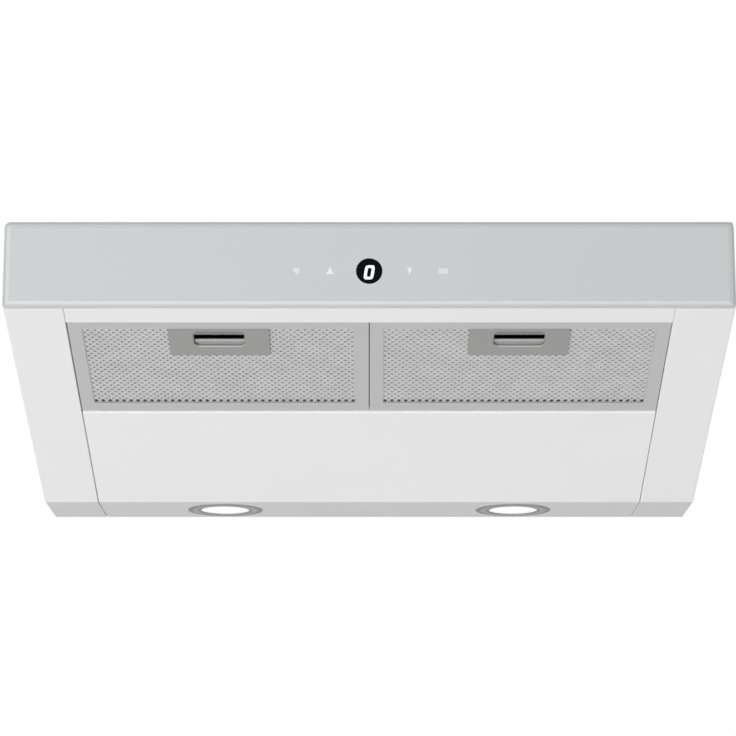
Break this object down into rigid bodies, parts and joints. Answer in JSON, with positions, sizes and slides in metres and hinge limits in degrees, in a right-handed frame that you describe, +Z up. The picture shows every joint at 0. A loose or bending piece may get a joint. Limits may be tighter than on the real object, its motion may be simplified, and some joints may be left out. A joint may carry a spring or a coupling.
{
  "type": "under-cabinet range hood",
  "caption": "Wedge-shaped hood with a glass front, drop-down grease filters on spring latches, recessed lamps and a blower that feeds a flapped duct collar.",
  "frame": {"origin": "middle of the four cabinet screw holes, on the top face", "axes": "+X right seen from the front, +Y back to the wall, +Z up"},
  "size_m": [0.598, 0.405, 0.2187],
  "materials": {
    "white_paint": "smooth white powder coat",
    "white_glass": "back-painted white glass, polished",
    "foam_tape": "matt foam tape",
    "display_black": "gloss black window",
    "board_green": "solder mask",
    "moulded_grey": "fine moulded texture",
    "filter_aluminium": "brushed, satin",
    "latch_grey": "fine moulded texture",
    "spring_steel": "bright",
    "lamp_ring": "satin",
    "lamp_glow": "frosted lens",
    "sink_aluminium": "die cast",
    "blower_black": "moulded, satin",
    "motor_steel": "dark enamel",
    "bush_rubber": "matt",
    "zinc_steel": "bright zinc",
    "collar_black": "moulded, satin",
    "flap_aluminium": "mill finish",
    "control_white": "moulded",
    "capacitor_white": "smooth",
    "gland_grey": "moulded",
    "lead_white": "smooth sheath"
  },
  "bodies": {
    "housing": {"top_panel": "white_paint", "back_panel": "white_paint", "front_tray": "white_paint", "glass_tape": "foam_tape", "front_glass": "white_glass", "display_lens": "display_black", "digit_display": "display_black", "touch_board": "board_green", "touch_holder": "moulded_grey", "front_crossbar": "white_paint", "light_panel": "white_paint", "panel_screws": "zinc_steel", "scroll_left_half": "blower_black", "scroll_right_half": "blower_black", "motor_housing": "motor_steel", "motor_bearings": "spring_steel", "motor_bracket": "zinc_steel", "motor_bushes": "bush_rubber", "motor_screws": "zinc_steel", "inlet_guard": "blower_black", "duct_collar": "collar_black", "flap_pin": "zinc_steel", "control_box": "control_white", "control_lid": "control_white", "power_board": "board_green", "lamp_driver": "control_white", "capacitor": "capacitor_white", "capacitor_strap": "zinc_steel", "terminal_block": "control_white", "top_screws": "zinc_steel", "wiring_harness": "lead_white", "cable_gland": "gland_grey", "gland_nut": "gland_grey", "side_panel_right": "white_paint", "side_panel_left": "white_paint", "lamp_bezel_left": "lamp_ring", "lamp_lens_left": "lamp_glow", "lamp_body_left": "sink_aluminium", "lamp_clips_left": "spring_steel", "lamp_bezel_right": "lamp_ring", "lamp_lens_right": "lamp_glow", "lamp_body_right": "sink_aluminium", "lamp_clips_right": "spring_steel"},
    "rotor": {"impeller": "blower_black", "motor_shaft": "spring_steel"},
    "front_flap": {"front_flap": "flap_aluminium"},
    "rear_flap": {"rear_flap": "flap_aluminium"},
    "filter_left": {"filter_frame_left": "filter_aluminium", "filter_face_left": "filter_aluminium", "filter_core_left": "filter_aluminium", "latch_housing_left": "latch_grey", "latch_spring_left": "spring_steel"},
    "latch_left": {"latch_slide_left": "latch_grey"},
    "filter_right": {"filter_frame_right": "filter_aluminium", "filter_face_right": "filter_aluminium", "filter_core_right": "filter_aluminium", "latch_housing_right": "latch_grey", "latch_spring_right": "spring_steel"},
    "latch_right": {"latch_slide_right": "latch_grey"}
  },
  "joints": [
    {"name": "blower_spin", "type": "hinge", "parent": "housing", "child": "rotor", "pos_m": [0, 0.09598, -0.072], "axis": [1, 0, 0], "continuous": true},
    {"name": "front_flap_swing", "type": "hinge", "parent": "housing", "child": "front_flap", "pos_m": [0, 0.1285, 0.012], "axis": [-1, 0, 0], "range_deg": [0, 75]},
    {"name": "rear_flap_swing", "type": "hinge", "parent": "housing", "child": "rear_flap", "pos_m": [0, 0.1285, 0.012], "axis": [1, 0, 0], "range_deg": [0, 75]},
    {"name": "filter_left_drop", "type": "hinge", "parent": "housing", "child": "filter_left", "pos_m": [-0.12481, -0.03928, -0.124], "axis": [1, 0, 0], "range_deg": [0, 75]},
    {"name": "latch_left_slide", "type": "slide", "parent": "filter_left", "child": "latch_left", "axis": [0, -0.9467, 0.3222], "range_m": [0, 0.005], "stiffness_N_per_m": 400, "springref_m": 0.008, "deforming": ["latch_spring_left"]},
    {"name": "filter_right_drop", "type": "hinge", "parent": "housing", "child": "filter_right", "pos_m": [0.12481, -0.03928, -0.124], "axis": [1, 0, 0], "range_deg": [0, 75]},
    {"name": "latch_right_slide", "type": "slide", "parent": "filter_right", "child": "latch_right", "axis": [0, -0.9467, 0.3222], "range_m": [0, 0.005], "stiffness_N_per_m": 400, "springref_m": 0.008, "deforming": ["latch_spring_right"]}
  ]
}
